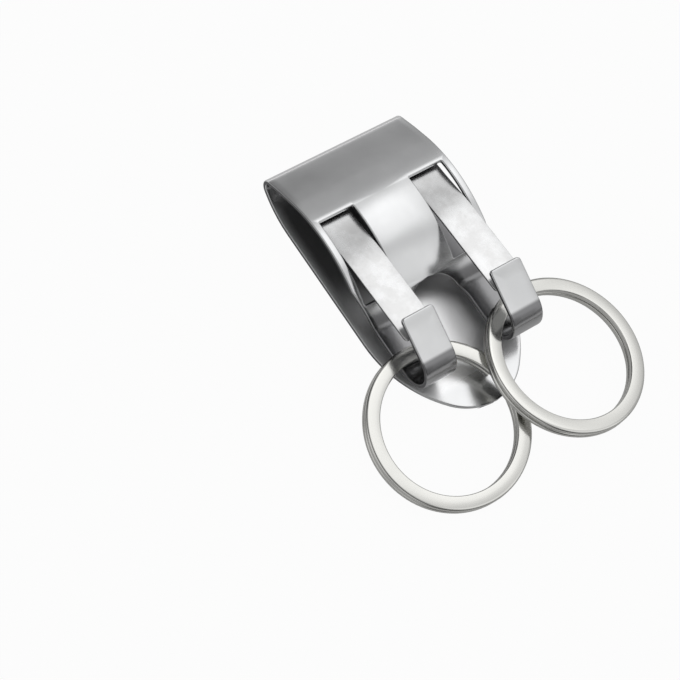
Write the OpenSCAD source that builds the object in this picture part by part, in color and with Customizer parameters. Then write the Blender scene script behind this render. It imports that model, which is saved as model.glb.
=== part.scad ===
// Belt key clip with two spring-gated hooks and two split rings.
// Millimetres. X runs across the clip, +Y points to the belt fold, +Z leaves the back panel's outer face.

/* [Sheet] */
// Width of the clip across the belt fold
clip_width = 34; // [28:0.5:42]
// Thickness of the bent sheet
sheet_thickness = 1; // [0.8:0.05:1.3]
// Where the flat back panel ends and starts to rise into the fold
rise_start_y = 11.2; // [9:0.1:14]
// Bend radius of the rise behind the fold, at mid sheet
rise_radius = 14.4; // [10:0.1:20]
// Turn of the rise behind the fold
rise_angle = 44.4; // [30:0.1:55]
// Bend radius of the belt fold, at mid sheet
fold_radius = 1.5; // [1.2:0.05:3]
// Turn of the belt fold
fold_angle = 113.1; // [100:0.1:140]
// Length of the straight slope in front of the fold
slope_length = 8.4; // [5:0.1:13]
// Bend radius of the crown, at mid sheet
crown_radius = 25.8; // [18:0.1:34]
// Bend radius where the front sheet levels out, at mid sheet
level_radius = 3.2; // [2:0.1:6]
// Gap between the back panel and the level strips of the hooks
strip_gap = 2.08; // [1.5:0.02:3]

/* [Back panel end] */
// Distance from the start of the hooks' curl to the back panel's rounded tip
panel_past_curl = 12; // [7:0.1:18]
// Radius of the rounded tip
panel_tip_radius = 12.7; // [10:0.1:16]
// Angle from the tip at which the tip arc meets the side arcs
panel_arc_meet_angle = 45; // [30:1:60]

/* [Windows and slot] */
// Width of the band of sheet outside a window
window_side_band = 1.6; // [1.2:0.1:3]
// Width of a window
window_width = 8.4; // [6:0.1:10]
// Distance from the slope's end to the windows' edges next to the fold
window_past_slope = 6.34; // [3:0.02:9]
// Distance from the windows' other edges to where the front starts to level out
window_above_level = 3.44; // [1:0.02:6]
// Distance from the start of the level run to the centre of the slot's round end
slot_past_level = 2.08; // [0:0.02:5]
// Distance up the front from the windows' lower edges to where it starts to narrow
taper_beside_windows = 3.2; // [1:0.1:6]
// Distance from the end of the narrowing to the start of the level run
taper_above_level = 1.02; // [0:0.02:3]

/* [Hooks] */
// Distance from the clip's side to a hook's outer edge
hook_inset = 1.95; // [0.5:0.05:4]
// Width of a hook
hook_width = 7.85; // [6:0.05:9]
// Distance from the centre of the slot's round end to the start of the hooks' curl
hook_run_length = 8.3; // [5:0.1:14]
// Bend radius of the hooks' curl, at mid sheet
curl_radius = 4.74; // [4:0.02:7]
// Turn of the hooks' curl
curl_angle = 158.6; // [120:0.1:170]
// Straight length of the lip past the curl
lip_length = 10.2; // [7:0.1:13]
// Radius of the lip's corners
lip_corner_radius = 1; // [0.4:0.1:2]

/* [Gate tongues] */
// Side gap between a tongue and the outer edge of its window
tongue_side_gap = 0.2; // [0.1:0.05:0.6]
// Width of a tongue
tongue_width = 7.8; // [5:0.1:9]
// Thickness of the welded root of a spring leaf
leaf_thickness = 0.6; // [0.4:0.05:0.8]
// Clearance of the free tongue under the sheet
tongue_clearance = 0.1; // [0.05:0.01:0.2]
// Length of the root along the straight slope
root_length = 6.4; // [4:0.1:8]
// Number of the crown's flat facets that the root follows
root_facets = 3; // [2:1:4]
// Length of the tongue's tip that lies behind the lip
tongue_lap = 4.2; // [2:0.1:7]
// Gap between the tongue's tip and the lip
tongue_tip_gap = 0.8; // [0.3:0.05:2]
// Radius of the tongue's tip corners
tongue_corner_radius = 0.8; // [0.3:0.1:2]

/* [Split rings] */
// Outer diameter of a ring
ring_outer_diameter = 34.9; // [28:0.1:40]
// Radial width of the flattened ring wire
ring_wire_width = 3.1; // [2:0.1:3.4]
// Thickness of one turn of ring wire
ring_turn_thickness = 1.08; // [0.8:0.01:1.3]
// Clear gap between the two turns of a ring
ring_turn_gap = 0.44; // [0.41:0.01:0.7]
// Chamfer along the wire's long edges
ring_wire_chamfer = 0.36; // [0.1:0.01:0.45]
// Angle over which the wire crosses from one turn to the other
ring_cross_angle = 26; // [18:1:40]
// Free space beside each wire end, along the ring
ring_end_space = 0.9; // [0.6:0.1:2]
// Distance from a hook's centre line out to the left ring's centre
left_ring_aside = 2.26; // [-1:0.02:4]
// Distance from a hook's centre line out to the right ring's centre
right_ring_aside = 5; // [3:0.02:7]
// Distance that the rings are pushed in from the start of the curl
ring_push = 2.2; // [0:0.1:5]
// Gap left under the left ring where it lies on its hook and on the ground
ring_lay_gap = 0.13; // [0.05:0.01:0.4]
// Gap between the two rings' planes where the right ring crosses over the left one
ring_over_gap = 0.38; // [0.3:0.01:0.8]
// Forward slope of the right ring
right_ring_pitch = 1.8; // [0:0.1:6]
// Sideways slope of the right ring, which lies over the left one
right_ring_roll = 7; // [5:0.1:12]
// Place of the wire's crossing on the left ring
left_ring_cross_at = 350; // [0:1:360]
// Place of the wire's crossing on the right ring
right_ring_cross_at = 86; // [0:1:360]

/* [Hidden] */
$fn = 96;
steel = [0.72, 0.73, 0.74];
spring_steel = [0.80, 0.81, 0.82];
nickel = [0.83, 0.81, 0.77];

half_width = clip_width / 2;
half_sheet = sheet_thickness / 2;
facet_turn = 4.1;
panel_overlap = 2 * sheet_thickness;

// Bend tables: each row is a straight length with no turn, or a mid-sheet radius with its turn
rise_row = [rise_radius, rise_angle];
fold_row = [fold_radius, fold_angle];
slope_row = [slope_length, 0];
curl_row = [curl_radius, -curl_angle];
lip_row = [lip_length, 0];

// A place on the sheet is its Y, its Z and its direction of travel
function along(row, at, u) =
  let (way = sign(row[1]), turned = at[2] + row[1] * u)
  way == 0
    ? [at[0] + row[0] * u * cos(at[2]), at[1] + row[0] * u * sin(at[2]), at[2]]
    : [
      at[0] + way * row[0] * (sin(turned) - sin(at[2])),
      at[1] - way * row[0] * (cos(turned) - cos(at[2])),
      turned
    ];
function steps(row) = max(1, ceil(abs(row[1]) / facet_turn));
function laid(rows, at, i = 0) =
  i == len(rows)
    ? [at]
    : concat(
      [for (j = [0:steps(rows[i]) - 1]) along(rows[i], at, j / steps(rows[i]))],
      laid(rows, along(rows[i], at, 1), i + 1)
    );
function ends(rows, at, i = 0) = i == len(rows) ? at : ends(rows, along(rows[i], at, 1), i + 1);
function face_of(places, off) = [for (p = places) [p[0] - off * sin(p[2]), p[1] + off * cos(p[2])]];
function reversed(list) = [for (i = [len(list) - 1:-1:0]) list[i]];
function outline(places, thickness) =
  concat(face_of(places, -thickness / 2), reversed(face_of(places, thickness / 2)));
function beside(at, off) = [at[0] - off * sin(at[2]), at[1] + off * cos(at[2]), at[2]];

rise_start = [rise_start_y, half_sheet, 0];
slope_start = ends([rise_row, fold_row], rise_start);
crown_start = ends([slope_row], slope_start);

// The crown turns until the next bend brings the sheet level at the strips' height
crown_centre = beside(crown_start, crown_radius);
strip_z = sheet_thickness + strip_gap + half_sheet;
drop_share = (crown_centre[1] - level_radius - strip_z) / (crown_radius + level_radius);
crown_end_heading = 360 - acos(drop_share);
crown_angle = crown_end_heading - crown_start[2];
crown_row = [crown_radius, crown_angle];
level_row = [level_radius, 180 - crown_end_heading];
level_start = ends([crown_row], crown_start);
run_start = ends([level_row], level_start);
slot_centre_y = run_start[0] - slot_past_level;
run_row = [slot_past_level + hook_run_length, 0];
curl_start = ends([run_row], run_start);
lip_start = ends([curl_row], curl_start);
lip_end = ends([lip_row], lip_start);
sheet_places = concat(
  [[rise_start_y - panel_overlap, half_sheet, 0]],
  laid([rise_row, fold_row, slope_row, crown_row, level_row, run_row, curl_row, lip_row], rise_start)
);

window_outer_x = half_width - window_side_band;
window_top_y = crown_start[0] - window_past_slope;
window_bottom_y = level_start[0] + window_above_level;
taper_start_y = window_bottom_y + taper_beside_windows;
taper_end_y = run_start[0] + taper_above_level;
hook_outer_x = half_width - hook_inset;
hook_inner_x = hook_outer_x - hook_width;
hook_centre_x = hook_outer_x - hook_width / 2;
tip_centre_y = curl_start[0] - panel_past_curl + panel_tip_radius;
meet_sine = sin(panel_arc_meet_angle);
side_arc_radius = (half_width - panel_tip_radius * meet_sine) / (1 - meet_sine);
side_arc_offset = side_arc_radius - half_width;
side_arc_y = tip_centre_y + (side_arc_radius - panel_tip_radius) * cos(panel_arc_meet_angle);
arc_meet_y = tip_centre_y - panel_tip_radius * cos(panel_arc_meet_angle);
cut_height = 2 * crown_radius;
cut_floor = (sheet_thickness + run_start[1] - half_sheet) / 2;
cut_end_y = curl_start[0] - 2 * curl_radius;

// Spring leaves lie on the inner face of the front sheet, with facets that match its crown
crown_step = crown_angle / steps(crown_row);
root_turn = root_facets * crown_step;
tongue_centre_x = window_outer_x - tongue_side_gap - tongue_width / 2;
tongue_thickness = leaf_thickness - tongue_clearance;
leaf_radius = crown_radius - half_sheet - leaf_thickness / 2;
tongue_radius = leaf_radius - tongue_clearance / 2;
root_start = beside(ends([[-root_length, 0]], crown_start), half_sheet + leaf_thickness / 2);
root_rows = [[root_length, 0], [leaf_radius, root_turn]];
tongue_start = beside(ends(root_rows, root_start), tongue_clearance / 2);

// The free tongue follows the crown, then leaves it on the straight line to its tip behind the lip
lip_to_tongue = half_sheet + tongue_tip_gap + tongue_thickness / 2;
tongue_tip = beside(ends([[-tongue_lap, 0]], lip_end), -lip_to_tongue);
tip_from_centre = [tongue_tip[0] - crown_centre[0], tongue_tip[1] - crown_centre[1]];
tongue_length = sqrt(norm(tip_from_centre) ^ 2 - tongue_radius ^ 2);
tip_bearing = atan2(tip_from_centre[1], tip_from_centre[0]);
tongue_heading = tip_bearing + 90 - atan2(tongue_length, tongue_radius);
tongue_bend_row = [tongue_radius, tongue_heading - tongue_start[2]];
tongue_row = [tongue_length, 0];
tongue_end = ends([tongue_bend_row, tongue_row], tongue_start);

ring_mid_radius = (ring_outer_diameter - ring_wire_width) / 2;
ring_outer_radius = ring_outer_diameter / 2;
ring_inner_radius = ring_outer_radius - ring_wire_width;
ring_height = 2 * ring_turn_thickness + ring_turn_gap;
ring_lift = (ring_turn_thickness + ring_turn_gap) / 2;
end_space_angle = ring_end_space / ring_mid_radius * 180 / PI;
turn_arc = 360 - ring_cross_angle - end_space_angle;
cross_lap_angle = end_space_angle / 2;

// The left ring lies on its hook's inner corner and on the ground; the right one crosses over it
left_ring_x = -hook_centre_x - left_ring_aside;
right_ring_x = hook_centre_x + right_ring_aside;
ring_y = curl_start[0] + ring_push - ring_inner_radius;
seat_height = run_start[1] + half_sheet;
seat_reach = sqrt(max(0, ring_inner_radius ^ 2 - (left_ring_x + hook_inner_x) ^ 2));
left_ring_pitch = asin(seat_height / (ring_outer_radius + seat_reach));
left_ring_z = ring_outer_radius * sin(left_ring_pitch) + ring_height / 2 + ring_lay_gap / 2;
rings_half_apart = (right_ring_x - left_ring_x) / 2;
rings_meet_reach = sqrt(max(0, ring_mid_radius ^ 2 - rings_half_apart ^ 2));
pitch_rise = rings_meet_reach * (sin(left_ring_pitch) - sin(right_ring_pitch));
roll_rise = rings_half_apart * sin(right_ring_roll);
right_ring_z = left_ring_z + ring_height + ring_over_gap + pitch_rise - roll_rise;
cross_steps = 14;
cross_ease = 0.01;

// Wire section, radial and upward from its centre; ease draws it in a little
function wire_section(ease) =
  let (wide = ring_wire_width / 2 - ease, thick = ring_turn_thickness / 2 - ease, cham = ring_wire_chamfer)
  [
    [wide - cham, -thick],
    [wide, cham - thick],
    [wide, thick - cham],
    [wide - cham, thick],
    [cham - wide, thick],
    [-wide, thick - cham],
    [-wide, cham - thick],
    [cham - wide, -thick]
  ];
section_count = len(wire_section(0));

// Height of the wire through its crossing, a smooth step from the lower turn to the upper one
function climb(u) = let (v = min(1, max(0, u))) ring_lift * (2 * v * v * (3 - 2 * v) - 1);
function wire_point(q, turn, lift) = [
  (ring_mid_radius + q[0]) * cos(turn),
  (ring_mid_radius + q[0]) * sin(turn),
  q[1] + lift
];
cross_turns = concat(
  [-cross_lap_angle],
  [for (i = [0:cross_steps]) ring_cross_angle * i / cross_steps],
  [ring_cross_angle + cross_lap_angle]
);
cross_points = [
  for (turn = cross_turns)
    for (q = wire_section(cross_ease))
      wire_point(q, turn, climb(turn / ring_cross_angle))
];
last_section = len(cross_turns) - 1;
function cross_index(i, k) = i * section_count + (k % section_count);
function cross_quad(i, k) = [
  [cross_index(i, k), cross_index(i + 1, k + 1), cross_index(i + 1, k)],
  [cross_index(i, k), cross_index(i, k + 1), cross_index(i + 1, k + 1)]
];
cross_faces = concat(
  [[for (k = [section_count - 1:-1:0]) k]],
  [for (i = [0:last_section - 1]) for (k = [0:section_count - 1]) for (f = cross_quad(i, k)) f],
  [[for (k = [0:section_count - 1]) cross_index(last_section, k)]]
);

// Least distance from the crossing to the free ends of both turns
function end_points(turn, lift) = [for (q = wire_section(0)) wire_point(q, turn, lift)];
free_ends = concat(
  end_points(-end_space_angle, ring_lift),
  end_points(ring_cross_angle + end_space_angle, -ring_lift)
);
end_gap = min([for (a = free_ends) min([for (b = cross_points) norm(a - b)])]);
echo(str("least gap of a ring to itself, mm: ", min(end_gap, ring_turn_gap)));

// Strip of sheet from its outline in Y and Z, centred on X
module strip(places, width, thickness) {
  rotate([90, 0, 90])
    linear_extrude(height = width, center = true)
      polygon(outline(places, thickness));
}

// What a press takes off the two far corners of a strip that ends at a place
module corner_cuts(at, width, corner) {
  cut = 2 * corner;
  translate([0, at[0], at[1]])
    rotate([at[2], 0, 0])
      for (side = [-1, 1])
        scale([side, 1, 1])
          translate([width / 2 - corner, -corner, -corner])
            difference() {
              cube([cut, cut, cut]);
              translate([0, 0, -corner])
                cylinder(r = corner, h = 2 * cut);
            }
}

// Back panel, with straight sides and an end of three blended arcs
module back_panel() {
  translate([-half_width, side_arc_y, 0])
    cube([clip_width, rise_start_y - panel_overlap / 2 - side_arc_y, sheet_thickness]);
  translate([0, tip_centre_y, 0])
    cylinder(r = panel_tip_radius, h = sheet_thickness);
  intersection() {
    translate([-side_arc_offset, side_arc_y, 0])
      cylinder(r = side_arc_radius, h = sheet_thickness);
    translate([side_arc_offset, side_arc_y, 0])
      cylinder(r = side_arc_radius, h = sheet_thickness);
    translate([-half_width, arc_meet_y, 0])
      cube([clip_width, side_arc_y + panel_overlap - arc_meet_y, sheet_thickness]);
  }
}

// Everything the press cuts out of the front sheet
module front_cuts() {
  for (side = [-1, 1])
    scale([side, 1, 1]) {
      translate([window_outer_x - window_width, window_bottom_y, cut_floor])
        cube([window_width, window_top_y - window_bottom_y, cut_height]);
      translate([0, 0, cut_floor])
        linear_extrude(height = cut_height)
          polygon([
            [half_width, taper_start_y],
            [hook_outer_x, taper_end_y],
            [hook_outer_x, cut_end_y],
            [2 * half_width, cut_end_y],
            [2 * half_width, taper_start_y]
          ]);
    }
  translate([0, slot_centre_y, cut_floor])
    cylinder(r = hook_inner_x, h = cut_height);
  translate([-hook_inner_x, cut_end_y, cut_floor])
    cube([2 * hook_inner_x, slot_centre_y - cut_end_y, cut_height]);
}

// One bent strip: back panel, belt fold, windowed front, and the two hooks with their lips
module clip_body() {
  color(steel) {
    back_panel();
    difference() {
      strip(sheet_places, clip_width, sheet_thickness);
      front_cuts();
      for (side = [-1, 1])
        translate([side * hook_centre_x, 0, 0])
          corner_cuts(lip_end, hook_width, lip_corner_radius);
    }
  }
}

// Welded root of a spring leaf, flat on the slope and round the start of the crown
module tongue_root(side) {
  color(spring_steel)
    translate([side * tongue_centre_x, 0, 0])
      strip(laid(root_rows, root_start), tongue_width, leaf_thickness);
}

// Free tongue of a spring leaf, from the root's end to behind the lip
module tongue(side) {
  color(spring_steel)
    translate([side * tongue_centre_x, 0, 0])
      difference() {
        strip(laid([tongue_bend_row, tongue_row], tongue_start), tongue_width, tongue_thickness);
        corner_cuts(tongue_end, tongue_width, tongue_corner_radius);
      }
}

// One turn of ring wire that leaves room for the crossing
module ring_turn(start, lift) {
  rotate([0, 0, start])
    rotate_extrude(angle = turn_arc)
      translate([ring_mid_radius, lift])
        polygon(wire_section(0));
}

// Split ring: lower turn, crossing and upper turn in one unbroken wire
module split_ring(cross_at) {
  rotate([0, 0, cross_at]) {
    ring_turn(ring_cross_angle + end_space_angle, -ring_lift);
    polyhedron(points = cross_points, faces = cross_faces);
    ring_turn(ring_cross_angle, ring_lift);
  }
}

module left_tongue_root() {
  tongue_root(-1);
}

module right_tongue_root() {
  tongue_root(1);
}

module left_tongue() {
  tongue(-1);
}

module right_tongue() {
  tongue(1);
}

module left_ring() {
  color(nickel)
    translate([left_ring_x, ring_y, left_ring_z])
      rotate([left_ring_pitch, 0, 0])
        split_ring(left_ring_cross_at);
}

module right_ring() {
  color(nickel)
    translate([right_ring_x, ring_y, right_ring_z])
      rotate([right_ring_pitch, right_ring_roll, 0])
        split_ring(right_ring_cross_at);
}

clip_body();
left_tongue_root();
right_tongue_root();
left_tongue();
right_tongue();
left_ring();
right_ring();
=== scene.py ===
"""Belt key clip: a bent satin strip, two spring leaves and two split rings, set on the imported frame."""

import math

import bmesh
import bpy
from mathutils import Matrix, Vector


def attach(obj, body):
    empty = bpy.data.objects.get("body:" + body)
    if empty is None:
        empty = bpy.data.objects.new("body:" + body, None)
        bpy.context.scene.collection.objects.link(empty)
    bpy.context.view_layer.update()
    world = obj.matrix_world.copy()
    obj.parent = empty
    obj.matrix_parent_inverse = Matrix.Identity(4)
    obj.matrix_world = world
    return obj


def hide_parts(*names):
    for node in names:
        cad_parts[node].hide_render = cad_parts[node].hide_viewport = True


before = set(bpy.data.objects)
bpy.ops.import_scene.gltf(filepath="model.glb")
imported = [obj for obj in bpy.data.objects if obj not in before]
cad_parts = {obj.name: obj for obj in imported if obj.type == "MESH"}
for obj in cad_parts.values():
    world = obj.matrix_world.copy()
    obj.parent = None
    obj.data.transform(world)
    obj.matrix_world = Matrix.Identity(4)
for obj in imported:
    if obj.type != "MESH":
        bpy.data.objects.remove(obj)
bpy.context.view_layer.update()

MM = 0.001

# Bent strip, sizes in millimetres as in the frame
CLIP_WIDTH = 34.0
SHEET = 1.0
RISE_START_Y = 11.2
# Bends are given as a radius with a turn in degrees
RISE = (17.1329, 33.9664)
FOLD = (1.9, 117.5336)
SLOPE = (80.2141, 6.0)
CROWN_RADIUS = 25.8
LEVEL_RADIUS = 3.2
STRIP_GAP = 2.08
CURL = (4.74, -158.6)
LIP_LENGTH = 9.4
LIP_CORNER = 0.8
HOOK_RUN = 7.2
SLOT_PAST_LEVEL = 2.08
PANEL_PAST_CURL = 13.1
TIP_RADIUS = 12.7
TIP_MEET = 45.0
WINDOW_INNER = 7.0
WINDOW_OUTER = 15.4
WINDOW_PAST_SLOPE = 6.34
WINDOW_ABOVE_LEVEL = 3.44
TAPER_BESIDE_WINDOWS = 3.2
TAPER_ABOVE_LEVEL = 1.02
HOOK_INNER = 7.2
HOOK_OUTER = 14.8
# Two lines of points along a hook, which carry on the windows' long edges
HOOK_LINES = (9.6, 12.65)
EDGE_ROUND = 0.28

# Steps at which the strip is laid out, in mm on a straight and in degrees round a bend, the tip and the arch
STRAIGHT_STEP = 3.0
TURN_STEP = 2.5
TIP_STEP = 3
ARCH_STEP = 9
# Room that is kept free of other lines beside a named line
LINE_ROOM = 0.4
# Halvings that find the line with a given Y
HALVINGS = 50
# Steps round a corner of the outline, and round a broken edge
CORNER_STEPS = 6
EDGE_STEPS = 3
# Only faces this far above the hook strips' middle are cut out as windows
WINDOW_FLOOR = 1.0

# Spring leaves
LEAF = 0.6
LEAF_CLEARANCE = 0.1
LEAF_CENTRE = 11.3
LEAF_WIDTH = 7.8
ROOT_LENGTH = 6.4
LEAF_DROP = 0.8
ROOT_FACETS = 3
TONGUE_LAP = 4.2
FRAME_HOOK_RUN = 8.3
FRAME_LIP_LENGTH = 10.2
TONGUE_GAP = 0.8
TONGUE_CORNER = 0.8
LEAF_EDGE_ROUND = 0.09
LEAF_STEPS = 24
LEAF_POINTS = (-1, -0.5, 0, 0.5, 1)
# Room that is kept free of other lines before the tongue's rounded tip
LEAF_ROOM = 0.2
# The root dips from this length along it to its end
ROOT_DIP_START = 4.0
# The tongue's dip is gone from the first of these lengths on, and whole up to the second
TONGUE_DIP = (13.0, 1.5)
# The crown's facets in the frame turn by at most this
FACET_TURN = 4.1

# Split rings
RING_OUTER = 17.45
RING_WIRE = 3.1
RING_TURN = 1.2
RING_GAP = 0.2
RING_CROSS = 26.0
RING_END_SPACE = 0.9
RING_ROUND_OUT = 0.55
RING_SHOULDER = 0.7
RING_ROUND_IN = 0.28
# Steps round a whole turn, along the crossing and round a corner of the wire
TURN_STEPS = 96
CROSS_STEPS = 16
ROUND_STEPS = 4
LEFT_RING = {"x": -13.385, "y": -40.0424, "z": 3.70708, "pitch": 7.71331, "roll": 0.0, "start": 350.0}
RIGHT_RING = {"x": 16.125, "y": -40.0424, "z": 5.49797, "pitch": 1.8, "roll": 7.0, "start": 86.0}

# Turns in degrees past which an edge is broken, and past which shading stays sharp
BROKEN_EDGE = 50
SHARP_SHADE = 35
# Points nearer than this are one point
MERGE = 0.02 * MM


def deselect():
    """Goes back to object mode with nothing selected."""
    if bpy.context.mode != "OBJECT":
        bpy.ops.object.mode_set(mode="OBJECT")
    bpy.ops.object.select_all(action="DESELECT")


def walk(place, row, share=1.0):
    """A place further along the sheet: row is a straight length, or a radius with its turn in degrees."""
    y, z, heading = place
    length, turn = row
    t0, t1 = math.radians(heading), math.radians(heading + turn * share)
    if turn == 0:
        return (y + length * share * math.cos(t0), z + length * share * math.sin(t0), heading)
    way = math.copysign(1, turn)
    return (
        y + way * length * (math.sin(t1) - math.sin(t0)),
        z - way * length * (math.cos(t1) - math.cos(t0)),
        heading + turn * share,
    )


def ends(rows, place):
    """The place at the far end of a chain of rows."""
    for row in rows:
        place = walk(place, row)
    return place


def beside(place, off):
    """A place moved off square to the sheet, towards its inner side."""
    t = math.radians(place[2])
    return (place[0] - off * math.sin(t), place[1] + off * math.cos(t), place[2])


def row_length(row):
    """The length of sheet in one row."""
    return row[0] if row[1] == 0 else row[0] * math.radians(abs(row[1]))


def at_length(rows, place, s):
    """The place at a length s along a chain of rows."""
    for row in rows:
        length = row_length(row)
        if s <= length:
            return walk(place, row, s / length)
        s -= length
        place = walk(place, row)
    return place


# Where each bend of the strip starts, in Y and Z with its heading
rise_start = (RISE_START_Y, SHEET / 2, 0.0)
slope_start = ends([RISE, FOLD], rise_start)
crown_start = walk(slope_start, SLOPE)
crown_centre = beside(crown_start, CROWN_RADIUS)
strip_z = SHEET + STRIP_GAP + SHEET / 2
level_drop = crown_centre[1] - LEVEL_RADIUS - strip_z
crown_end = 360 - math.degrees(math.acos(level_drop / (CROWN_RADIUS + LEVEL_RADIUS)))
CROWN = (CROWN_RADIUS, crown_end - crown_start[2])
LEVEL = (LEVEL_RADIUS, 180 - crown_end)
level_start = walk(crown_start, CROWN)
run_start = walk(level_start, LEVEL)
RUN = (SLOT_PAST_LEVEL + HOOK_RUN, 0)
curl_start = walk(run_start, RUN)
# The tongues end where the frame has them, behind lips a little longer than the sheet's
frame_lip_end = ends([(SLOT_PAST_LEVEL + FRAME_HOOK_RUN, 0), CURL, (FRAME_LIP_LENGTH, 0)], run_start)
slot_y = run_start[0] - SLOT_PAST_LEVEL
window_top_y = crown_start[0] - WINDOW_PAST_SLOPE
window_bottom_y = level_start[0] + WINDOW_ABOVE_LEVEL
taper_start_y = window_bottom_y + TAPER_BESIDE_WINDOWS
taper_end_y = run_start[0] + TAPER_ABOVE_LEVEL
tip_y = curl_start[0] - PANEL_PAST_CURL
tip_centre_y = tip_y + TIP_RADIUS
half_width = CLIP_WIDTH / 2
meet = math.radians(TIP_MEET)
side_radius = (half_width - TIP_RADIUS * math.sin(meet)) / (1 - math.sin(meet))
side_y = tip_centre_y + (side_radius - TIP_RADIUS) * math.cos(meet)


def across(verts):
    """Points in order of their X."""
    return sorted(verts, key=lambda v: v.co.x)


def begin_row(name, places, columns):
    """A new mesh in edit mode whose first two rows stand at the first two places."""
    deselect()
    bpy.ops.mesh.primitive_grid_add(
        x_subdivisions=len(columns[0]) - 1, y_subdivisions=1, size=1, location=(0, 0, 0))
    piece = bpy.context.object
    piece.name = piece.data.name = name
    bpy.ops.object.mode_set(mode="EDIT")
    bm = bmesh.from_edit_mesh(piece.data)
    rows = [across(v for v in bm.verts if (v.co.y > 0) == far) for far in (False, True)]
    for row, place, xs in zip(rows, places, columns):
        for v, x in zip(row, xs):
            v.co = (x * MM, place[0] * MM, place[1] * MM)
    select_only(bm, rows[1])
    bmesh.update_edit_mesh(piece.data)
    return piece


def select_only(bm, verts):
    """Selects some points and the edges between them, and nothing else."""
    for item in (*bm.faces, *bm.edges, *bm.verts):
        item.select = False
    chosen = set(verts)
    for v in chosen:
        v.select = True
    for e in bm.edges:
        if e.verts[0] in chosen and e.verts[1] in chosen:
            e.select = True
    bm.select_flush_mode()


def bent_strip(name, places, columns):
    """Extrudes a row of points along the places of a bent sheet; columns holds each row's X values."""
    piece = begin_row(name, places[:2], columns[:2])
    bpy.context.tool_settings.mesh_select_mode = (False, True, False)
    for last, place, xs in zip(places[1:], places[2:], columns[2:]):
        step = (0, (place[0] - last[0]) * MM, (place[1] - last[1]) * MM)
        bpy.ops.mesh.extrude_edges_move(TRANSFORM_OT_translate={"value": step})
        bm = bmesh.from_edit_mesh(piece.data)
        for v, x in zip(across(v for v in bm.verts if v.select), xs):
            v.co.x = x * MM
        bmesh.update_edit_mesh(piece.data)
    return piece


def drop_faces(piece, test):
    """Deletes the faces whose centre passes a test, as a press punches them out."""
    bm = bmesh.from_edit_mesh(piece.data)
    bpy.context.tool_settings.mesh_select_mode = (False, False, True)
    for f in bm.faces:
        f.select = bool(test(f.calc_center_median()))
    bmesh.update_edit_mesh(piece.data)
    bpy.ops.mesh.delete(type="FACE")


def merge_and_face(piece):
    """Merges doubles and turns the faces outwards, or up on an open surface, and ends edit mode."""
    bpy.ops.mesh.select_all(action="SELECT")
    bpy.ops.mesh.remove_doubles(threshold=MERGE)
    bpy.ops.mesh.select_all(action="SELECT")
    bpy.ops.mesh.normals_make_consistent(inside=False)
    bm = bmesh.from_edit_mesh(piece.data)
    probe = max(bm.faces, key=lambda f: f.calc_center_median().z)
    if probe.normal.z < 0:
        bpy.ops.mesh.flip_normals()
    bpy.ops.object.mode_set(mode="OBJECT")


def pick(piece):
    """Makes a piece the only one selected, and the active one."""
    deselect()
    piece.select_set(True)
    bpy.context.view_layer.objects.active = piece


def modify(piece, kind, **settings):
    """Adds a modifier and applies it."""
    pick(piece)
    mod = piece.modifiers.new(kind.title(), kind)
    for key, value in settings.items():
        setattr(mod, key, value)
    bpy.ops.object.modifier_apply(modifier=mod.name)


def sheet_finish(piece, thickness, rounding):
    """Gives a bent surface its thickness and its broken edges."""
    modify(
        piece, "SOLIDIFY", thickness=thickness * MM, offset=0,
        use_even_offset=True, use_quality_normals=True)
    modify(
        piece, "BEVEL", width=rounding * MM, segments=EDGE_STEPS, limit_method="ANGLE",
        angle_limit=math.radians(BROKEN_EDGE), use_clamp_overlap=False, miter_outer="MITER_ARC")
    pick(piece)
    bpy.ops.object.shade_smooth_by_angle(angle=math.radians(SHARP_SHADE))


def corner_inset(distance, radius):
    """How far a rounded corner draws an edge in, at a distance from the strip's end."""
    if distance >= radius:
        return 0.0
    return radius - math.sqrt(max(0.0, radius ** 2 - (radius - distance) ** 2))


def corner_steps(radius):
    """Distances from the strip's end at which a rounded corner gets a row of points."""
    return [radius * (1 - math.cos(math.pi / 2 * i / CORNER_STEPS)) for i in range(CORNER_STEPS + 1)]


# The strip's whole path, from the back panel's round tip to the ends of the lips
PATH = [(rise_start[0] - tip_y, 0), RISE, FOLD, SLOPE, CROWN, LEVEL, RUN, CURL, (LIP_LENGTH, 0)]
path_start = (tip_y, SHEET / 2, 0.0)
path_length = sum(row_length(row) for row in PATH)
front_start = sum(row_length(row) for row in PATH[:3])
front_end = front_start + sum(row_length(row) for row in PATH[3:7])


def line_at(y):
    """A line across the front whose outer face has this Y, as its length along the path and its Y."""
    low, high = front_start, front_end
    for _ in range(HALVINGS):
        mid = (low + high) / 2
        if beside(at_length(PATH, path_start, mid), -SHEET / 2)[0] > y:
            low = mid
        else:
            high = mid
    return (low, y)


def between(s, y, first, last):
    """Share of the way down the front from one line to another."""
    if s <= first[0]:
        return 0.0
    if s >= last[0]:
        return 1.0
    return min(1.0, (first[1] - y) / (first[1] - last[1]))


def panel_edge(y):
    """Half the back panel's width, drawn in round its tip."""
    if y < tip_centre_y - TIP_RADIUS * math.cos(meet):
        return math.sqrt(max(0.0, TIP_RADIUS ** 2 - (y - tip_centre_y) ** 2))
    if y < side_y:
        return math.sqrt(max(0.0, side_radius ** 2 - (y - side_y) ** 2)) - (side_radius - half_width)
    return half_width


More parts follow.
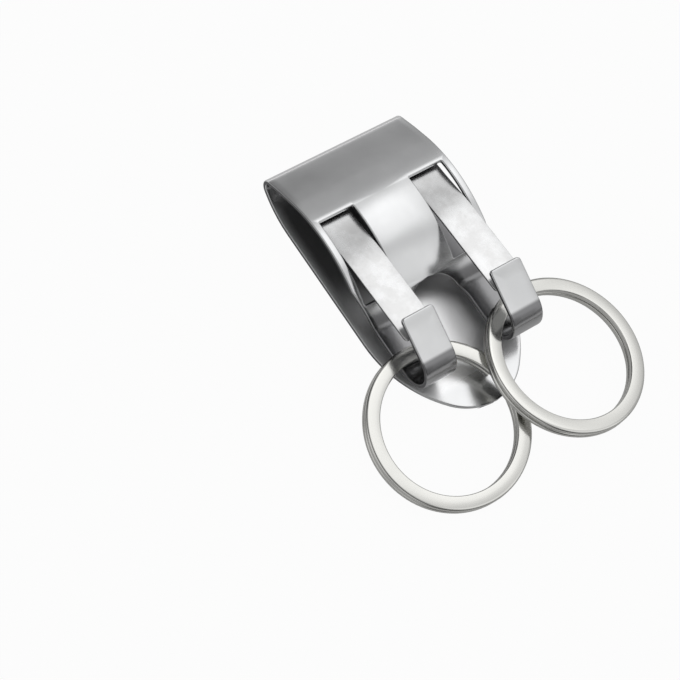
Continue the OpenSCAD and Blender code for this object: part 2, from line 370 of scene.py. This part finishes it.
def path_marks():
    """Lengths along the path that follow its bends and the panel's tip."""
    marks = set()
    for a in range(0, int(TIP_MEET) + 1, TIP_STEP):
        marks.add(TIP_RADIUS * (1 - math.cos(math.radians(a))))
        marks.add(side_y - tip_y - side_radius * math.cos(math.radians(90 - a)))
    s = 0.0
    for row in PATH:
        length = row_length(row)
        count = max(1, round(length / STRAIGHT_STEP if row[1] == 0 else abs(row[1]) / TURN_STEP))
        if row is PATH[0]:
            low = side_y - tip_y
            marks.update(low + (length - low) * i / count for i in range(count + 1))
        else:
            marks.update(s + length * i / count for i in range(count + 1))
        s += length
    return marks


def clip_rows():
    """Rows of points on the right half of the strip, and the Y of the windows' two ends."""
    window_top, window_bottom, taper_start, taper_end, arch_top, slot_end = (
        line_at(y) for y in (
            window_top_y, window_bottom_y, taper_start_y, taper_end_y, slot_y + HOOK_INNER, slot_y))
    arch_angles = range(2 * ARCH_STEP, 90, ARCH_STEP)
    arch = [line_at(slot_y + HOOK_INNER * math.cos(math.radians(a)))[0] for a in arch_angles]
    named = (window_top, window_bottom, taper_start, taper_end, arch_top, slot_end)
    fixed = sorted({*(line[0] for line in named), *arch, path_length})
    free = [s for s in sorted(path_marks()) if all(abs(s - f) > LINE_ROOM for f in fixed)]
    places, columns = [], []
    for s in sorted({*free, *fixed, 0.0}):
        place = at_length(PATH, path_start, s)
        y = beside(place, -SHEET / 2)[0]
        inner = 0.0
        if s < front_start / 2:
            edge = panel_edge(place[0])
            near, far = edge * WINDOW_INNER / half_width, edge * WINDOW_OUTER / half_width
        else:
            edge = half_width + (HOOK_OUTER - half_width) * between(s, y, taper_start, taper_end)
            if s > arch_top[0]:
                reach = y - slot_y if s < slot_end[0] else 0.0
                inner = math.sqrt(max(0.0, HOOK_INNER ** 2 - reach ** 2))
            share = between(s, y, window_bottom, slot_end)
            near = WINDOW_INNER + share * (HOOK_LINES[0] - WINDOW_INNER)
            far = WINDOW_OUTER + share * (HOOK_LINES[1] - WINDOW_OUTER)
        places.append(place)
        columns.append((inner, near, far, edge))
    cut = [at_length(PATH, path_start, line[0])[0] for line in (window_top, window_bottom)]
    return places, columns, cut


def round_lip(piece, place):
    """Rounds the two corners at the lip's end, which is at a place."""
    bm = bmesh.from_edit_mesh(piece.data)
    end = Vector((place[0] * MM, place[1] * MM))
    row = across(v for v in bm.verts if (v.co.yz - end).length < MERGE / 2)
    bpy.context.tool_settings.mesh_select_mode = (True, False, False)
    select_only(bm, (row[0], row[-1]))
    bmesh.update_edit_mesh(piece.data)
    bpy.ops.mesh.bevel(offset=LIP_CORNER * MM, segments=CORNER_STEPS, affect="VERTICES")


def make_clip():
    """The right half of the bent sheet, pressed, mirrored and given its thickness."""
    places, columns, cut = clip_rows()
    piece = bent_strip("clip_sheet", places, columns)

    def in_window(centre):
        """Whether the centre of a face lies within the right window."""
        x, y, z = (value / MM for value in centre)
        return WINDOW_INNER < x < WINDOW_OUTER and cut[1] < y < cut[0] and z > strip_z + WINDOW_FLOOR

    drop_faces(piece, in_window)
    round_lip(piece, places[-1])
    merge_and_face(piece)
    modify(piece, "MIRROR", use_axis=(True, False, False), use_clip=True, merge_threshold=MERGE)
    sheet_finish(piece, SHEET, EDGE_ROUND)
    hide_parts("clip_body")
    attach(piece, "clip")
    return piece


# A spring leaf is two pieces, because its tongue moves and its welded root doesn't
crown_facet = CROWN[1] / math.ceil(CROWN[1] / FACET_TURN)
leaf_radius = CROWN_RADIUS - SHEET / 2 - LEAF / 2
root_share = ROOT_LENGTH / row_length(SLOPE)
root_start = beside(walk(slope_start, SLOPE, 1 - root_share), SHEET / 2 + LEAF / 2)
ROOT_ROWS = [
    (SLOPE[0] - SHEET / 2 - LEAF / 2, SLOPE[1] * root_share),
    (leaf_radius, ROOT_FACETS * crown_facet),
]
root_dip = (ROOT_DIP_START, sum(row_length(row) for row in ROOT_ROWS))
tongue_start = beside(ends(ROOT_ROWS, root_start), LEAF_CLEARANCE / 2)
tongue_thickness = LEAF - LEAF_CLEARANCE
tongue_radius = leaf_radius - LEAF_CLEARANCE / 2


def tongue_rows():
    """The tongue follows the crown, then runs straight to its tip behind the lip."""
    tip = beside(walk(frame_lip_end, (-TONGUE_LAP, 0)), -(SHEET / 2 + TONGUE_GAP + tongue_thickness / 2))
    dy, dz = tip[0] - crown_centre[0], tip[1] - crown_centre[1]
    length = math.sqrt(dy ** 2 + dz ** 2 - tongue_radius ** 2)
    heading = math.degrees(math.atan2(dz, dy)) + 90 - math.degrees(math.atan2(length, tongue_radius))
    return [(tongue_radius, heading - tongue_start[2]), (length, 0)]


def eased(u):
    """A smooth step from 0 to 1."""
    u = max(0.0, min(1.0, u))
    return u * u * (3 - 2 * u)


def dip_at(s, dip):
    """How far a leaf lies below its line at a length along it."""
    start, lowest = dip
    return LEAF_DROP * eased((s - start) / (lowest - start))


def make_leaf_part(name, rows, start, thickness, corner, centre, body, node, dip):
    """One part of a spring leaf, which stands in for a node; corner rounds its tip."""
    total = sum(row_length(row) for row in rows)
    lengths = {0.0, row_length(rows[0]), *(total * i / LEAF_STEPS for i in range(LEAF_STEPS + 1))}
    if corner:
        lengths = {s for s in lengths if s < total - corner - LEAF_ROOM}
        lengths |= {total - step for step in corner_steps(corner)}
    places, columns = [], []
    for s in sorted(lengths):
        places.append(beside(at_length(rows, start, s), dip_at(s, dip)))
        half = LEAF_WIDTH / 2 - corner_inset(total - s, corner)
        columns.append(tuple(centre + half * u for u in LEAF_POINTS))
    piece = bent_strip(name, places, columns)
    merge_and_face(piece)
    sheet_finish(piece, thickness, LEAF_EDGE_ROUND)
    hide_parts(node)
    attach(piece, body)
    return piece


def make_leaves():
    """The welded roots and the free tongues of both spring leaves."""
    parts = []
    for word, centre in (("left", -LEAF_CENTRE), ("right", LEAF_CENTRE)):
        parts.append(make_leaf_part(
            word + "_leaf_root", ROOT_ROWS, root_start, LEAF, 0.0, centre,
            "clip", word + "_tongue_root", root_dip))
        parts.append(make_leaf_part(
            word + "_leaf_tongue", tongue_rows(), tongue_start, tongue_thickness, TONGUE_CORNER, centre,
            word + "_gate", word + "_tongue", TONGUE_DIP))
    return parts


def wire_section(name, mid, height):
    """A flat section of ring wire in edit mode, with small inner corners and wide, low outer shoulders."""
    deselect()
    bpy.ops.mesh.primitive_plane_add(size=1, location=(0, 0, 0), rotation=(math.pi / 2, 0, 0))
    piece = bpy.context.object
    piece.name = piece.data.name = name
    piece.scale = (RING_WIRE * MM, RING_TURN * MM, 1)
    piece.location = (mid * MM, 0, height * MM)
    bpy.ops.object.transform_apply(location=True, rotation=True, scale=True)
    bpy.ops.object.mode_set(mode="EDIT")
    bpy.context.tool_settings.mesh_select_mode = (True, False, False)
    for side, amount in ((-1, RING_ROUND_IN), (1, RING_ROUND_OUT)):
        bm = bmesh.from_edit_mesh(piece.data)
        select_only(bm, [v for v in bm.verts if (v.co.x - mid * MM) * side > 0])
        bmesh.update_edit_mesh(piece.data)
        bpy.ops.mesh.bevel(offset=amount * MM, segments=ROUND_STEPS, affect="VERTICES")
    bm = bmesh.from_edit_mesh(piece.data)
    for v in bm.verts:
        reach = RING_OUTER - v.co.x / MM
        if reach < RING_WIRE / 2:
            v.co.x = (RING_OUTER - reach * RING_SHOULDER / RING_ROUND_OUT) * MM
    bmesh.update_edit_mesh(piece.data)
    return piece


def spin_wire(steps, turn):
    """Carries the selected section round the ring's centre."""
    bpy.ops.mesh.spin(steps=steps, angle=-math.radians(turn), center=(0, 0, 0), axis=(0, 0, 1))


def make_ring(name, node, body, spot):
    """A split ring: one turn of wire, a crossing that climbs to the next turn, and that turn."""
    mid = RING_OUTER - RING_WIRE / 2
    lift = (RING_TURN + RING_GAP) / 2
    end_angle = math.degrees(RING_END_SPACE / mid)
    turn = 360 - RING_CROSS - end_angle
    piece = wire_section(name, mid, -lift)
    bpy.ops.mesh.select_all(action="SELECT")
    bpy.context.tool_settings.mesh_select_mode = (False, False, True)
    spin_wire(TURN_STEPS, turn)
    height = -lift
    for i in range(1, CROSS_STEPS + 1):
        target = lift * (2 * eased(i / CROSS_STEPS) - 1)
        spin_wire(1, RING_CROSS / CROSS_STEPS)
        bpy.ops.transform.translate(value=(0, 0, (target - height) * MM))
        height = target
    spin_wire(TURN_STEPS, turn)
    merge_and_face(piece)
    # The ring is turned so that its crossing lies where the frame has it, then tipped and set down
    turned = Matrix.Rotation(math.radians(spot["start"] + RING_CROSS + end_angle), 4, "Z")
    pitched = Matrix.Rotation(math.radians(spot["pitch"]), 4, "X")
    rolled = Matrix.Rotation(math.radians(spot["roll"]), 4, "Y")
    centre = Vector((spot["x"], spot["y"], spot["z"])) * MM
    piece.matrix_world = Matrix.Translation(centre) @ (rolled @ pitched) @ turned
    pick(piece)
    bpy.ops.object.transform_apply(location=True, rotation=True, scale=True)
    bpy.ops.object.shade_smooth_by_angle(angle=math.radians(SHARP_SHADE))
    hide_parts(node)
    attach(piece, body)
    return piece


class Value:
    """A number in a material that can be used in sums."""

    def __init__(self, finish, socket):
        self.finish = finish
        self.socket = socket

    def _sum(self, operation, a, b):
        return self.finish.node("ShaderNodeMath", {"operation": operation}, {0: a, 1: b})

    def __add__(self, other):
        return self._sum("ADD", self, other)

    __radd__ = __add__

    def __mul__(self, other):
        return self._sum("MULTIPLY", self, other)

    __rmul__ = __mul__

    def __rsub__(self, other):
        return self._sum("SUBTRACT", other, self)

    def most(self, other):
        """The larger of two values."""
        return self._sum("MAXIMUM", self, other)

    def size(self):
        """The value without its sign."""
        return self._sum("ABSOLUTE", self, 0.0)


class Finish:
    """A material or world built node by node."""

    def __init__(self, name, owner=None):
        self.data = owner or bpy.data.materials.new(name)
        self.data.use_nodes = True
        self.tree = self.data.node_tree
        self.tree.nodes.clear()

    def node(self, kind, settings=None, inputs=None, output=0):
        """Makes a node, sets it and its sockets, and returns one of its outputs."""
        made = self.tree.nodes.new(kind)
        settings = dict(settings or {})
        stops = settings.pop("stops", ())
        for key, value in settings.items():
            setattr(made, key, value)
        for _ in stops[2:]:
            made.color_ramp.elements.new(0.5)
        for i, (place, level) in enumerate(stops):
            made.color_ramp.elements[i].position = place
            made.color_ramp.elements[i].color = (level, level, level, 1)
        for key, value in (inputs or {}).items():
            self.plug(made.inputs[key], value)
        return Value(self, made.outputs[output])

    def plug(self, socket, value):
        """Links a value to a socket, or sets the socket to a number or colour."""
        if isinstance(value, Value):
            self.tree.links.new(value.socket, socket)
        else:
            socket.default_value = value

    def noise(self, place, scale, detail, rough):
        """Fine irregular marks, as a value around a half."""
        return self.node("ShaderNodeTexNoise", None, {
            "Vector": place, "Scale": scale, "Detail": detail, "Roughness": rough})

    def axes(self, vector, *names):
        """The named parts of a vector, such as X or Z."""
        return [self.node("ShaderNodeSeparateXYZ", None, {0: vector}, output=name) for name in names]

    def ramp(self, value, low, high, start=0.0, stop=1.0):
        """Maps a range of a value smoothly onto another."""
        return self.node(
            "ShaderNodeMapRange", {"interpolation_type": "SMOOTHSTEP"},
            {0: value, 1: low, 2: high, 3: start, 4: stop})

    def stretched(self, place, factors):
        """A place with each of its parts scaled, so that marks run lengthwise."""
        return self.node("ShaderNodeMapping", None, {"Vector": place, "Scale": factors})

    def mix(self, share, a, b):
        """A colour between two others: the first at a share of 0, the second at 1."""
        made = self.tree.nodes.new("ShaderNodeMix")
        made.data_type = "RGBA"
        for key, value in ((0, share), (6, a), (7, b)):
            self.plug(made.inputs[key], value)
        return Value(self, made.outputs[2])

    def metal(self, colour, rough, height, strength, depth):
        """A metal surface with fine relief, as the finished material."""
        bump = self.node("ShaderNodeBump", None, {
            "Strength": strength, "Distance": depth, "Height": height})
        return self.surface(self.node("ShaderNodeBsdfPrincipled", None, {
            "Base Color": colour, "Metallic": 1.0, "Roughness": rough, "Normal": bump}))

    def surface(self, shader):
        """Puts a shader on the surface and returns the material."""
        out = self.tree.nodes.new("ShaderNodeOutputMaterial")
        self.tree.links.new(shader.socket, out.inputs["Surface"])
        return self.data


def grey(level):
    """A steel grey, very slightly blue."""
    return (level, level, level + 0.005, 1)


def satin_steel():
    """Fine blasted stainless sheet with a faint rolled grain, rougher inside the fold; painted shade darkens
    its undersides, far in the fold, cut sides, curls and hook strips, and painted light brightens the fold's
    end and the panel below the slot.
    """
    f = Finish("satin_stainless")
    place = f.node("ShaderNodeTexCoord", output="Object")
    x, y, z = f.axes(place, "X", "Y", "Z")
    aside, up = f.axes(f.node("ShaderNodeTexCoord", output="Normal"), "X", "Z")
    grain = f.noise(place, 5200, 2, 0.6)
    grit = f.noise(place, 1500, 3, 0.6)
    cloud = f.noise(place, 90, 3, 0.55)
    rub = f.noise(f.stretched(place, (900, 60, 900)), 1.0, 2, 0.6)
    # Each of these is 1 on one part of the sheet and 0 elsewhere. First the lips, and all that faces down,
    # which is painted dark as painted shade, though much less on the lips
    lip = f.ramp(y, -0.014, -0.018) * f.ramp(z, 0.008, 0.010)
    underside_shade = f.ramp(up, -0.05, -0.25) * f.ramp(z, 0.0028, 0.0036) * (1 - lip * 0.9)
    # The back panel's face: beside the left curl, where it is only rougher; below the slot, where it is
    # painted pale as painted light; and far in the fold, where it is painted dark as painted shade
    panel_face = f.ramp(up, 0.3, 0.6) * f.ramp(z, 0.0030, 0.0016)
    panel = panel_face * f.ramp(x, -0.0085, -0.0120)
    slot_panel_light = panel_face * f.ramp(y, -0.0345, -0.0305) * f.ramp(x, -0.0120, -0.0085)
    deep_fold_shade = panel_face * f.ramp(x, -0.0170, -0.0145) * f.ramp(y + 0.4 * x, -0.018, -0.006)
    # Where painted shade goes: the undersides, and far in the fold
    inside = underside_shade.most(deep_fold_shade * 0.9)
    # The cut sides of the sheet, the outside of the curls and the hook strips, all three painted dark as
    # painted shade, and the end of the fold, which gets a painted highlight
    cut = f.ramp(aside.size(), 0.80, 0.97)
    curl_shade = f.ramp(y, -0.0284, -0.0292) * f.ramp(z, 0.0022, 0.0032)
    level_run = f.ramp(z, 0.0075, 0.0062) * f.ramp(z, 0.0022, 0.0032)
    strip = f.ramp(up, 0.2, 0.5) * f.ramp(y, -0.0125, -0.0145) * level_run
    fold = f.ramp(y, 0.0202, 0.0213)
    colour = f.mix(f.ramp(cloud, 0.35, 0.7), (0.60, 0.605, 0.61, 1), (0.655, 0.66, 0.665, 1))
    # Painted shade on the curls, darkest where each curl begins
    colour = f.mix(curl_shade, colour, f.mix(f.ramp(y, -0.0300, -0.0312), grey(0.21), grey(0.46)))
    # Painted shade on the hook strips' upper faces, below the tongues
    colour = f.mix(strip, colour, grey(0.24))
    # A painted highlight, near white, at the fold's end
    colour = f.mix(fold, colour, grey(0.95))
    # The panel below the slot painted pale, as painted light
    colour = f.mix(slot_panel_light, colour, grey(0.86))
    # Painted shade, near black: undersides, far in the fold, and all cut sides
    colour = f.mix(inside.most(cut), colour, grey(0.14))
    rough = 0.17 + cloud * 0.04 + grit * 0.03 + underside_shade * 0.2 + panel * 0.33 + slot_panel_light * 0.16
    return f.metal(colour, rough, grain * 0.5 + grit * 0.35 + rub * 0.15, 0.16, 0.00004)


def spring_steel():
    """Lighter spring strip, brushed along its length, with mottled marks from tempering."""
    f = Finish("spring_strip")
    place = f.node("ShaderNodeTexCoord", output="Object")
    aside, up = f.axes(f.node("ShaderNodeTexCoord", output="Normal"), "X", "Z")
    cloud = f.noise(place, 260, 4, 0.6)
    speck = f.noise(place, 1400, 3, 0.7)
    brush = f.noise(f.stretched(place, (2400, 70, 70)), 1.0, 3, 0.6)
    colour = f.mix(f.ramp(cloud, 0.35, 0.7), (0.62, 0.62, 0.62, 1), (0.74, 0.745, 0.75, 1))
    colour = f.mix(f.ramp(up, -0.05, -0.3), colour, grey(0.70))
    # Painted shade, near black, on the leaves' cut sides
    colour = f.mix(f.ramp(aside.size(), 0.80, 0.97), colour, grey(0.12))
    rough = 0.19 + cloud * 0.10 + speck * 0.05
    return f.metal(colour, rough, brush * 0.6 + speck * 0.4, 0.14, 0.00003)


def ring_nickel():
    """Tumbled nickel plate, slightly warm, with fine rub marks."""
    f = Finish("nickel_wire")
    place = f.node("ShaderNodeTexCoord", output="Object")
    cloud = f.noise(place, 160, 3, 0.5)
    rub = f.noise(f.stretched(place, (700, 700, 2400)), 1.0, 3, 0.6)
    colour = f.mix(cloud, (0.60, 0.60, 0.575, 1), (0.67, 0.665, 0.64, 1))
    return f.metal(colour, 0.10 + cloud * 0.06 + rub * 0.05, rub, 0.05, 0.00003)


def dress(piece, material):
    """Gives a piece one material."""
    piece.data.materials.clear()
    piece.data.materials.append(material)


clip = make_clip()
leaves = make_leaves()
rings = [
    make_ring("left_split_ring", "left_ring", "left_key_ring", LEFT_RING),
    make_ring("right_split_ring", "right_ring", "right_key_ring", RIGHT_RING),
]
dress(clip, satin_steel())
spring = spring_steel()
for leaf in leaves:
    dress(leaf, spring)
nickel = ring_nickel()
for ring in rings:
    dress(ring, nickel)


def floor_paper():
    """Pale paper that the camera sees as white, and that still takes the object's shadow."""
    f = Finish("floor_paper")
    eye = f.node("ShaderNodeLightPath", output="Is Camera Ray")
    gloss = f.node("ShaderNodeLightPath", output="Is Glossy Ray") + f.node(
        "ShaderNodeLightPath", output="Is Transmission Ray")
    paper = f.node("ShaderNodeBsdfDiffuse", None, {"Color": (0.55, 0.55, 0.55, 1)})
    white = f.node("ShaderNodeEmission", None, {"Color": (1, 1, 1, 1), "Strength": 1.0})
    mixed = f.node("ShaderNodeMixShader", None, {0: eye * 0.96 + gloss * 0.2, 1: paper, 2: white})
    return f.surface(mixed)


deselect()
bpy.ops.mesh.primitive_plane_add(size=6, location=(0, 0, -0.0002))
floor = bpy.context.object
floor.name = "floor"
dress(floor, floor_paper())


def soft_box(name, towards, distance, width, height, power):
    """An area lamp that looks at the clip from a direction."""
    deselect()
    way = Vector(towards).normalized()
    bpy.ops.object.light_add(type="AREA", location=way * distance)
    lamp = bpy.context.object
    lamp.name = name
    lamp.data.shape = "RECTANGLE"
    lamp.data.size, lamp.data.size_y = width, height
    lamp.data.energy = power
    lamp.rotation_mode = "QUATERNION"
    lamp.rotation_quaternion = way.to_track_quat("Z", "Y")


soft_box("top_box", (0.35, 0.1, 0.93), 0.9, 0.5, 0.5, 0.2)


# Brightness of the light tent, from the side of the hooks at -1 to the side of the fold at 1
TENT = (
    (-1.0, 0.08), (-0.88, 0.20), (-0.80, 0.45), (-0.72, 0.66), (-0.49, 0.68), (-0.42, 0.63),
    (-0.355, 0.55), (-0.28, 0.48), (-0.21, 0.57), (-0.13, 0.67), (-0.05, 0.70), (0.03, 0.72),
    (0.10, 0.77), (0.18, 0.80), (0.26, 0.88), (0.33, 0.88), (0.40, 0.82), (0.47, 0.60), (0.535, 0.38),
    (0.60, 0.30), (0.73, 0.285), (0.79, 0.265), (0.83, 0.205), (0.87, 0.12), (1.0, 0.10))


def studio_world():
    """A light tent that is pale overhead and in front, and grey towards the fold; the camera sees white."""
    world = bpy.data.worlds.new("studio")
    bpy.context.scene.world = world
    f = Finish("studio", world)
    x, y, z = f.axes(f.node("ShaderNodeTexCoord", output="Generated"), "X", "Y", "Z")
    stops = [((at + 1) / 2, level) for at, level in TENT]
    tent = f.node("ShaderNodeValToRGB", {"stops": stops}, {0: y * 0.5 + 0.5})
    # The tent is bright to the right, dims on the left, and a little light comes back from far left
    right = f.ramp(x, -0.20, 0.20, 0.08, 1) * f.ramp(x, 0.62, 0.88, 1, 0.4)
    left = f.ramp(x, -0.34, -0.56, 0, 0.5)
    over = tent * 1.5 * f.ramp(z, 0.0, 0.25) * (right + left)
    # A pale wall on the right, and a bright strip low down behind the fold
    side = f.ramp(x, 0.70, 0.95) * f.ramp(z, -0.3, 0.1)
    back = f.ramp(y, 0.70, 0.88) * f.ramp(z, 0.26, 0.08) * f.ramp(z, -0.35, -0.1)
    level = 0.08 + over + 0.8 * back + 0.25 * side
    eye = f.node("ShaderNodeLightPath", output="Is Camera Ray")
    strength = level * (1 - eye) + eye
    shade = f.node("ShaderNodeBackground", None, {"Color": (1, 1, 1, 1), "Strength": strength})
    out = f.tree.nodes.new("ShaderNodeOutputWorld")
    f.tree.links.new(shade.socket, out.inputs["Surface"])


studio_world()

# The camera stands where the photograph was taken from
deselect()
bpy.ops.object.camera_add()
camera = bpy.context.object
camera.name = "photo_camera"
camera.matrix_world = Matrix((
    (0.805531, 0.435557, -0.401759, -0.177267),
    (-0.549648, 0.802536, -0.232000, -0.103866),
    (0.221377, 0.407709, 0.885870, 0.345800),
    (0, 0, 0, 1),
))
camera.data.sensor_width = 36
camera.data.lens = 103.3284
camera.data.clip_start, camera.data.clip_end = 0.02, 20
bpy.context.scene.camera = camera
bpy.context.scene.view_settings.view_transform = "Standard"
